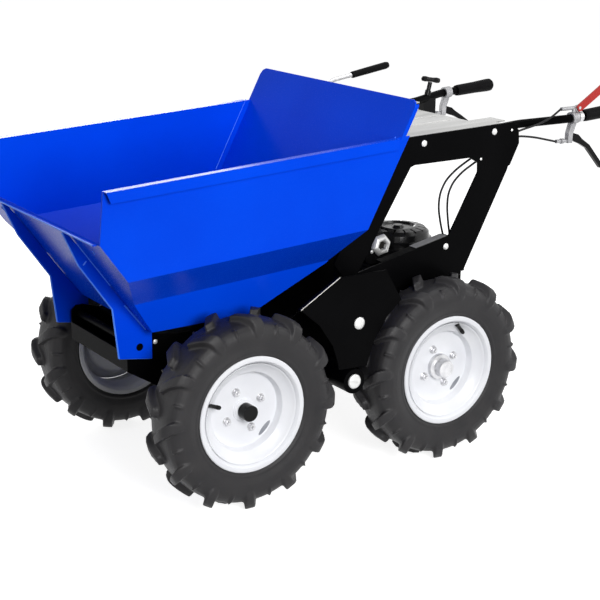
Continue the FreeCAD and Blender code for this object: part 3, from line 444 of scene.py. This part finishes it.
def copyPiece(piece, name, moved, mirrored=False):
    twin = piece.copy()
    twin.data = piece.data.copy()
    twin.name = twin.data.name = name
    twin.data.transform(moved)
    if mirrored:
        twin.data.flip_normals()
    bpy.context.scene.collection.objects.link(twin)
    return twin


def joinPieces(pieces, name):
    clearPick()
    for piece in pieces:
        piece.select_set(True)
    bpy.context.view_layer.objects.active = pieces[0]
    if len(pieces) > 1:
        bpy.ops.object.join()
    pieces[0].name = pieces[0].data.name = name
    return pieces[0]


def paintPiece(piece, finish):
    piece.data.materials.clear()
    piece.data.materials.append(finishes[finish])


def smoothPiece(piece, angle):
    pickOnly(piece)
    bpy.ops.object.shade_smooth_by_angle(angle=math.radians(angle))


def placePiece(piece, body, moved=None):  # the last step of each new piece
    if moved:
        piece.data.transform(moved)
    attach(piece, body)


def shift(x, y, z):
    return Matrix.Translation((x, y, z))


def tiltTo(direction):  # the turn that takes +Y to a direction
    return Vector((0, 1, 0)).rotation_difference(Vector(direction)).to_matrix().to_4x4()


mirrorSide = Matrix.Scale(-1, 4, (0, 1, 0))


def sidePiece(piece, name, side, moved):  # a copy for the left side, or its mirror image for the right
    if side == "Left":
        return copyPiece(piece, name + side, moved)
    return copyPiece(piece, name + side, mirrorSide @ moved, mirrored=True)


def onSide(place, side):
    x, y, z = place
    return (x, y if side == "Left" else -y, z)


def outerFace(nodeName):  # how far out a left hand node reaches
    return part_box(nodeName)[1].y


def dropPieces(*pieces):
    for piece in pieces:
        bpy.data.objects.remove(piece)


sides = ("Left", "Right")

# wheels: each piece is modelled in mm about the wheel's middle, outwards along +Y, and copied to its places
tyreSetup = {
    "half": [(129.5, 42), (133, 46), (141.5, 46.8), (143.5, 46.5), (146, 49.5), (150, 51.6), (154, 51),
             (158, 52.6), (170, 56), (184, 57.4), (196, 56), (206, 52), (215, 45), (220, 34), (222, 18)],
    "steps": 120, "voxel": 0.0027, "smooth": 0.5, "passes": 3, "keep": 0.42, "shade": 60,
    "lugs": 12, "slant": 37, "lugMiddle": 28, "shoulder": 57, "rollRadius": 232, "ribOffset": 0.36,
    "lean": {"Front": 2, "Rear": -2},  # degrees that the whole tread is turned
    # bars: across, top radius, root across, root radius, half width at the top and at the root
    "lug": [(1, 229, 1, 214, 8, 13), (4.5, 238.2, 3, 212, 11, 15.5), (16, 238.8, 14, 212, 12, 16),
            (30, 238.8, 26, 210, 13, 17), (42, 237, 36, 208, 14, 18.5), (50.5, 231, 42, 204, 14.5, 19.5),
            (56, 220.5, 46, 200, 14, 20), (59, 207, 50, 195, 12.5, 20), (59.6, 195, 52, 190, 9, 18),
            (57.6, 184, 53, 184, 5, 12)],
    "rib": [(46, 222, 44, 214, 1.6, 3), (53, 214, 48, 206, 2, 4.5), (57.6, 204, 50, 198, 2, 5),
            (58.2, 194, 54, 192, 1, 3.5)],
}


def barRing(setup, values, slant, middle):  # four corners of a tread bar, which leans as it runs across
    across, topRadius, rootAcross, rootRadius, topHalf, rootHalf = values
    lead = (middle - min(across, setup["shoulder"])) * math.tan(math.radians(slant))
    corners = []
    for wide, side, reach in ((-rootHalf, rootAcross, rootRadius), (rootHalf, rootAcross, rootRadius),
                              (topHalf, across, topRadius), (-topHalf, across, topRadius)):
        turn = (lead + wide) / setup["rollRadius"]
        corners.append(Vector((reach * math.sin(turn), side, reach * math.cos(turn))) / perMetre)
    return corners


def makeTyre(setup):
    half = setup["half"]
    inner = [(radius, -across) for radius, across in reversed(half)]
    pieces = [turnedPiece("lugTyre", half + inner, setup["steps"], ring=True)]
    lugRings = [barRing(setup, values, setup["slant"], setup["lugMiddle"]) for values in setup["lug"]]
    lug = loftedBar("tyreLug", lugRings)
    rib = loftedBar("tyreRib", [barRing(setup, values, 0, 0) for values in setup["rib"]])
    pitch = math.tau / setup["lugs"]
    for i in range(setup["lugs"]):
        for side, lag in (("Left", 0), ("Right", 0.5)):
            for bar, offset in ((lug, 0), (rib, setup["ribOffset"])):
                turned = Matrix.Rotation(pitch * (i + lag + offset), 4, "Y")
                pieces.append(sidePiece(bar, "treadBar", side, turned))
    dropPieces(lug, rib)
    tyre = joinPieces(pieces, "lugTyre")
    useModifier(tyre, "REMESH", mode="VOXEL", voxel_size=setup["voxel"])
    useModifier(tyre, "SMOOTH", factor=setup["smooth"], iterations=setup["passes"])
    useModifier(tyre, "DECIMATE", ratio=setup["keep"])
    smoothPiece(tyre, setup["shade"])
    paintPiece(tyre, "tyreRubber")
    print("tyre modelled:", len(tyre.data.polygons), "faces")
    return tyre


# rims: pressed halves with rolled flanges and a dished disc, as (radius, across) in mm
rimSetup = {
    "ring": [(137, 50.5), (139.5, 50.3), (141.2, 48.8), (141.4, 46.6), (140, 45), (134, 44.2), (129, 43),
             (126, 38), (124, 12), (122.5, 5), (119, 0), (122.5, -5), (124, -12), (126, -38), (129, -43),
             (134, -44.2), (140, -45), (141.4, -46.6), (141.2, -48.8), (139.5, -50.3), (137, -50.5),
             (130, -49.4), (124.5, -44), (122, -36), (120.8, -12), (119, -6), (116, 0), (119, 6),
             (120.8, 12), (122, 36), (124.5, 44), (130, 49.4)],
    "disc": [(22, 1), (86, 1), (90.6, 1.8), (94.2, 5), (96.4, 10), (98.2, 18), (100.4, 21), (106, 24.2),
             (116.6, 32.6), (120.8, 37.6), (122.4, 40), (122.6, 43.6), (121, 43), (118.8, 40.2),
             (113, 34.2), (105, 28.6), (100.6, 26), (97.4, 24.4), (95.6, 21.4), (93.4, 11), (91.4, 7.4),
             (88, 6), (30, 6), (24, 6.6), (22, 7)],
    "steps": 112, "shade": 32,
}


def makeRim(setup):
    ring = turnedPiece("rimRing", setup["ring"], setup["steps"], ring=True)
    disc = turnedPiece("rimDisc", setup["disc"], setup["steps"], ring=True)
    rim = joinPieces([ring, disc], "pressedRim")
    smoothPiece(rim, setup["shade"])
    paintPiece(rim, "rimPaint")
    return rim


# wheel nuts: a washer, a six sided nut and a stud, four on the bolt circle of each disc
nutSetup = {
    "washer": [(0, 0), (10.4, 0), (10.8, 0.5), (10.8, 1.3), (10.2, 1.8), (0, 1.8)],
    "nut": [(0, 0), (8.8, 0), (8.8, 7), (7.4, 8.6), (4.6, 8.6), (4.4, 8), (0, 8)],
    "stud": [(0, 0), (3.9, 0), (3.9, 12), (3.2, 13), (0, 13)],
    "steps": {"washer": 28, "nut": 6, "stud": 16}, "washerThick": 0.0018,
    "bevel": 0.0005, "bevelAngle": 30, "shade": 35,
    "count": 4, "circle": 50.8, "disc": 0.006, "turn": {"Front": 66, "Rear": 67},
}


def makeNut(setup):
    pieces = []
    for partName, steps in setup["steps"].items():
        part = turnedPiece("wheel" + partName.capitalize(), setup[partName], steps)
        if partName == "nut":
            useModifier(part, "BEVEL", width=setup["bevel"], segments=2, limit_method="ANGLE",
                        angle_limit=math.radians(setup["bevelAngle"]))
        smoothPiece(part, setup["shade"])
        lift = 0 if partName == "washer" else setup["washerThick"]
        pieces.append(copyPiece(part, "nutPart", shift(0, lift, 0)))
        dropPieces(part)
    nut = joinPieces(pieces, "wheelNut")
    paintPiece(nut, "zincSteel")
    return nut


def setNuts(setup, nut, axle):
    nuts = []
    reach = setup["circle"] / perMetre
    for i in range(setup["count"]):
        turn = math.radians(setup["turn"][axle]) + math.tau * i / setup["count"]
        place = shift(reach * math.cos(turn), setup["disc"], reach * math.sin(turn))
        nuts.append(copyPiece(nut, "nutCopy", place))
    return joinPieces(nuts, "wheelNuts")


# hubs: the end of each axle, low under the front caps and stepped at the rear
hubSetup = {
    "Front": [(0, -100), (12.5, -100), (12.5, -6), (28, -5), (28.5, -1), (28.5, 7.4), (27.6, 8.4),
              (25, 8.6), (24.2, 11), (21, 12), (0, 12)],
    "Rear": [(0, -100), (12.5, -100), (12.5, -6), (33, -5), (33.4, 2), (33.4, 14), (32, 16.4), (29, 17.4),
             (25, 18.2), (23.4, 20), (23.2, 38.5), (22, 40.8), (20, 41.5), (16.4, 41.7), (15.8, 40.9),
             (0, 40.9)],
    "paint": {"Front": "rimPaint", "Rear": "zincSteel"}, "steps": 64, "shade": 30,
}


def makeHub(setup, axle):
    hub = turnedPiece("driveHub", setup[axle], setup["steps"])
    smoothPiece(hub, setup["shade"])
    paintPiece(hub, setup["paint"][axle])
    return hub


# valves: a rubber stem that leans in from the rim's shoulder, from foot to tip
valveSetup = {
    "stem": [(0, 0), (6.4, 0), (6, 5), (4.8, 9), (4.8, 29), (5.3, 30), (5.3, 38), (4.2, 41), (0, 41.4)],
    "Front": ((116.5, 39, 45), (78.6, 33, 28.4)), "Rear": ((-27.5, 39, 116), (-61.4, 33, 79.2)),
    "steps": 24, "shade": 35,
}


def makeValve(setup, axle):
    foot, tip = (Vector(place) / perMetre for place in setup[axle])
    valve = turnedPiece("valveStem", setup["stem"], setup["steps"])
    smoothPiece(valve, setup["shade"])
    paintPiece(valve, "blackPlastic")
    valve.data.transform(Matrix.Translation(foot) @ tiltTo(tip - foot))
    return valve


# slot: a long pressed window near the edge of the disc, square to its radius, made as a shallow recess
# painted grey as the window's painted shade
slotSetup = {
    "outline": [(0, 0.3), (8.4, 0.3), (9.2, 1.0), (9.9, 0.9), (10.3, 0.1), (10.3, -1), (0, -1)],
    "place": (-58.4, 6, -57.9), "scale": (2.1, 1, 0.56), "steps": 40, "shade": 30,
}


def makeSlot(setup):
    window = turnedPiece("rimSlot", setup["outline"], setup["steps"])
    smoothPiece(window, setup["shade"])
    paintPiece(window, "slotShade")
    place = Vector(setup["place"]) / perMetre
    square = Matrix.Rotation(-math.atan2(place.z, place.x) - math.pi / 2, 4, "Y")
    window.data.transform(Matrix.Translation(place) @ square @ Matrix.Diagonal((*setup["scale"], 1)))
    return window


tyre = makeTyre(tyreSetup)
rim = makeRim(rimSetup)
nut = makeNut(nutSetup)
for axle in ("Front", "Rear"):
    parts = {
        "driveHub": (makeHub(hubSetup, axle), "rim_paint"),
        "wheelNuts": (setNuts(nutSetup, nut, axle), "bright_steel"),
        "valveStem": (makeValve(valveSetup, axle), "black_plastic"),
        "pressedRim": (rim, "rim_paint"),
        "lugTyre": (tyre, "tyre_rubber"),
        "rimSlot": (makeSlot(slotSetup), "rim_paint"),
    }
    low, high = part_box("tyre" + axle + "Left")
    middle = Matrix.Translation((low + high) / 2)
    lean = Matrix.Rotation(math.radians(tyreSetup["lean"][axle]), 4, "Y")
    for side in sides:
        label = axle + side
        for partName, (part, slot) in parts.items():
            moved = middle @ lean if partName == "lugTyre" else middle
            piece = sidePiece(part, partName + axle, side, moved)
            placePiece(piece, "wheel" + label)
            if partName == "lugTyre":
                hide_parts("tyre" + label)
            if partName == "pressedRim":
                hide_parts("rim" + label)
    dropPieces(*(parts[name][0] for name in ("driveHub", "wheelNuts", "valveStem", "rimSlot")))
dropPieces(tyre, rim, nut)
print("wheels ready")

# fastenings sit on these faces of the frame
plateFace = outerFace("handleFrameLeft")
bossFace = outerFace("chassisSideLeft")
gussetFace = outerFace("skipGussetLeft")

# dome heads: an outline in shares of the radius and height, then each place as (x, y, z, radius) in metres
domeSetup = {
    "outline": [(0, 1), (0.2, 0.98), (0.5, 0.84), (0.78, 0.55), (0.95, 0.22), (1, 0), (0.96, -0.06),
                (0, -0.06)],
    "radius": 0.01, "height": 0.42, "steps": 32, "shade": 50,
    "guardBolt": [(0.1135, bossFace - 0.004, 0.402, 0.0155)],
    "frameBolts": [(-0.1516, plateFace, 0.798, 0.0085), (-0.3818, plateFace, 0.8072, 0.0085),
                   (-0.2348, plateFace, 0.5227, 0.0085), (-0.4414, plateFace, 0.8063, 0.0036),
                   (-0.3401, plateFace, 0.7402, 0.0036)],
    "noseBolt": [(0.5671, 0.150, 0.382, 0.006)],
}


def makeDome(setup, name, radius, height, steps):
    across = radius * perMetre
    outline = [(reach * across, up * across * height) for reach, up in setup["outline"]]
    dome = turnedPiece(name, outline, steps)
    smoothPiece(dome, setup["shade"])
    return dome


dome = makeDome(domeSetup, "domeHead", domeSetup["radius"], domeSetup["height"], domeSetup["steps"])
for groupName in ("guardBolt", "frameBolts", "noseBolt"):
    for side in sides:
        heads = []
        for x, y, z, radius in domeSetup[groupName]:
            moved = shift(x, y, z) @ Matrix.Scale(radius / domeSetup["radius"], 4)
            heads.append(sidePiece(dome, "domeCopy", side, moved))
        group = joinPieces(heads, groupName + side)
        paintPiece(group, "boltZinc")
        placePiece(group, "chassis")
dropPieces(dome)

# the slotted head on the guard's boss, in mm and then its place in metres
slottedSetup = {
    "outline": [(0, 5.6), (12, 5.6), (15.6, 4.9), (17.4, 3.4), (18.4, 1.2), (18.4, -1), (0, -1)],
    "steps": 40, "shade": 30, "cut": (50, 4.8, 2.2), "cutTop": 5.6, "turn": -18,
    "place": (0.1285, bossFace, 0.258),
}


def makeSlotted(setup):
    head = turnedPiece("slottedHead", setup["outline"], setup["steps"])
    clearPick()
    size = Vector(setup["cut"]) / perMetre
    bpy.ops.mesh.primitive_cube_add(size=1, location=(0, setup["cutTop"] / perMetre, 0), scale=size)
    cutter = bpy.context.object
    pickOnly(cutter)
    bpy.ops.object.transform_apply(location=True, rotation=True, scale=True)
    useModifier(head, "BOOLEAN", operation="DIFFERENCE", object=cutter)
    dropPieces(cutter)
    smoothPiece(head, setup["shade"])
    paintPiece(head, "boltZinc")
    return head


slotted = makeSlotted(slottedSetup)
for side in sides:
    moved = shift(*slottedSetup["place"]) @ Matrix.Rotation(math.radians(slottedSetup["turn"]), 4, "Y")
    placePiece(sidePiece(slotted, "guardBossBolt", side, moved), "chassis")
dropPieces(slotted)
print("bolts ready")

# welds and the guard's edge: round beads from point to point, as (start, end, radius) in metres; both are
# painted lighter than their plates as painted highlights
seamSetup = {
    "skipWelds": [
        ((0.7692, gussetFace + 0.0016, 0.6512), (0.6901, gussetFace + 0.0016, 0.5429), 0.0022),
        ((0.6560, gussetFace + 0.0016, 0.4903), (0.6035, gussetFace + 0.0016, 0.4246), 0.0022),
        ((0.1146, 0.3306, 0.6627), (0.0165, 0.3341, 0.8456), 0.0012),  # up the headboard's side
        ((0.7632, 0.2500, 0.6430), (0.7696, 0.2500, 0.6517), 0.0020),
        ((0.7548, gussetFace + 0.0002, 0.5990), (0.7470, gussetFace + 0.0002, 0.6075), 0.0020),
    ],
    "wave": 0.14,  # how much narrower a weld is between its crests
    "guardEdge": ((0.2836, bossFace - 0.0048, 0.4616), (0.1735, bossFace - 0.0048, 0.5247), 0.0012),
    "rampLip": ((0.8018, -0.318, 0.6826), (0.8018, 0.318, 0.6826), 0.0019),
    "gussetEdge": [  # from the lip down to the foot, and back along it
        ((0.8005, gussetFace - 0.003, 0.6785), (0.7640, gussetFace - 0.003, 0.5988), 0.0030),
        ((0.7640, gussetFace - 0.003, 0.5988), (0.6842, gussetFace - 0.003, 0.4850), 0.0030),
        ((0.6842, gussetFace - 0.003, 0.4850), (0.6703, gussetFace - 0.003, 0.3640), 0.0030),
        ((0.6703, gussetFace - 0.003, 0.3640), (0.5870, gussetFace - 0.003, 0.3506), 0.0024),
    ],
    "pitch": 4, "fewest": 4,  # mm from crest to hollow, and the least number of them
    "steps": 12, "shade": 70,
}


def beadBetween(setup, name, side, run, wave=0.0):
    start, end = (Vector(onSide(place, side)) for place in run[:2])
    length = (end - start).length * perMetre
    count = max(setup["fewest"], int(length / setup["pitch"]))
    outline = [(0, 0)]
    for i in range(count + 1):
        outline.append((run[2] * perMetre * (1 - wave * (i % 2)), length * i / count))
    outline.append((0, length))
    bead = turnedPiece(name, outline, setup["steps"])
    smoothPiece(bead, setup["shade"])
    bead.data.transform(Matrix.Translation(start) @ tiltTo(end - start))
    return bead


# the grey strip along the sill between the frame's plates, its ends as (x, z); the grey is a painted
# reflection of light on the black flange
sillSetup = {
    "ends": ((-0.2405, 0.5491), (-0.1400, 0.5298)), "near": plateFace - 0.0320, "far": plateFace - 0.0048,
    "thick": 0.0010, "bevel": 0.0003,
}


def makeSill(setup, side):
    near, far, thick = (setup[key] for key in ("near", "far", "thick"))
    rings = []
    for x, z in setup["ends"]:
        corners = ((near, 0), (far, 0), (far, thick), (near, thick))
        rings.append([Vector(onSide((x, y, z + up), side)) for y, up in corners])
    strip = loftedBar("sillStrip" + side, rings)
    useModifier(strip, "BEVEL", width=setup["bevel"], segments=2)
    paintPiece(strip, "paintedSillReflection")
    return strip


for side in sides:
    beads = []
    for run in seamSetup["skipWelds"]:
        beads.append(beadBetween(seamSetup, "skipBead", side, run, seamSetup["wave"]))
    welds = joinPieces(beads, "skipWelds" + side)
    # the weld beads are painted a lighter blue as a painted highlight
    paintPiece(welds, "paintedHighlightBlue")
    placePiece(welds, "skip")
    # a light grey bead on the guard's top edge: painted highlight
    edge = beadBetween(seamSetup, "guardEdgeHighlight" + side, side, seamSetup["guardEdge"])
    paintPiece(edge, "paintedEdgeHighlight")
    placePiece(edge, "chassis")
    placePiece(makeSill(sillSetup, side), "chassis")
print("seams ready")

# the silencer's pressed outlet, over the frame's own ring: a faceted cup, its bore and a screw; the bore is
# a closed near-black piece that is painted shade for the opening
outletSetup = {
    "place": (-0.1180, 0.1084, 0.5158), "turn": 12, "sides": 6,
    "cup": [(0, 0.6), (29, 0.6), (30, 2), (29, 8), (25, 13), (19, 15.6), (15, 15.2), (13.4, 12), (13, 3),
            (0, 2.6)],
    "bevel": 0.0035, "bevelAngle": 20, "shade": 40,
    "bore": [(0, 3.4), (12.6, 3.4), (14.6, 13.4), (14.2, 13.8), (12, 4.6), (0, 4.6)],
    "boreSteps": 28, "boreShade": 30,
    "screwPlace": (-0.0935, 0.1082, 0.4995), "screwRadius": 0.005, "screwHeight": 0.5, "screwSteps": 20,
}
cup = turnedPiece("outletCup", outletSetup["cup"], outletSetup["sides"])
useModifier(cup, "BEVEL", width=outletSetup["bevel"], segments=3, limit_method="ANGLE",
            angle_limit=math.radians(outletSetup["bevelAngle"]))
smoothPiece(cup, outletSetup["shade"])
paintPiece(cup, "boltZinc")
bore = turnedPiece("outletBore", outletSetup["bore"], outletSetup["boreSteps"])
smoothPiece(bore, outletSetup["boreShade"])
paintPiece(bore, "paintedBoreShade")
screw = makeDome(domeSetup, "outletScrew", outletSetup["screwRadius"], outletSetup["screwHeight"],
                 outletSetup["screwSteps"])
paintPiece(screw, "boltZinc")
atOutlet = shift(*outletSetup["place"])
turned = Matrix.Rotation(math.radians(outletSetup["turn"]), 4, "Y")
placePiece(bore, "chassis", atOutlet)
placePiece(screw, "chassis", shift(*outletSetup["screwPlace"]))
placePiece(cup, "chassis", atOutlet @ turned)
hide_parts("engineOutlet")

# the folded front edges of the skip: a rounded strip along each, painted a lighter blue as a painted
# highlight
edges = [beadBetween(seamSetup, "edgeRun", "Left", seamSetup["rampLip"])]
for run in seamSetup["gussetEdge"]:
    for side in sides:
        edges.append(beadBetween(seamSetup, "edgeRun", side, run))
edgeStrip = joinPieces(edges, "skipFrontEdges")
paintPiece(edgeStrip, "paintedHighlightBlue")
placePiece(edgeStrip, "skip")
print("edges and outlet ready")
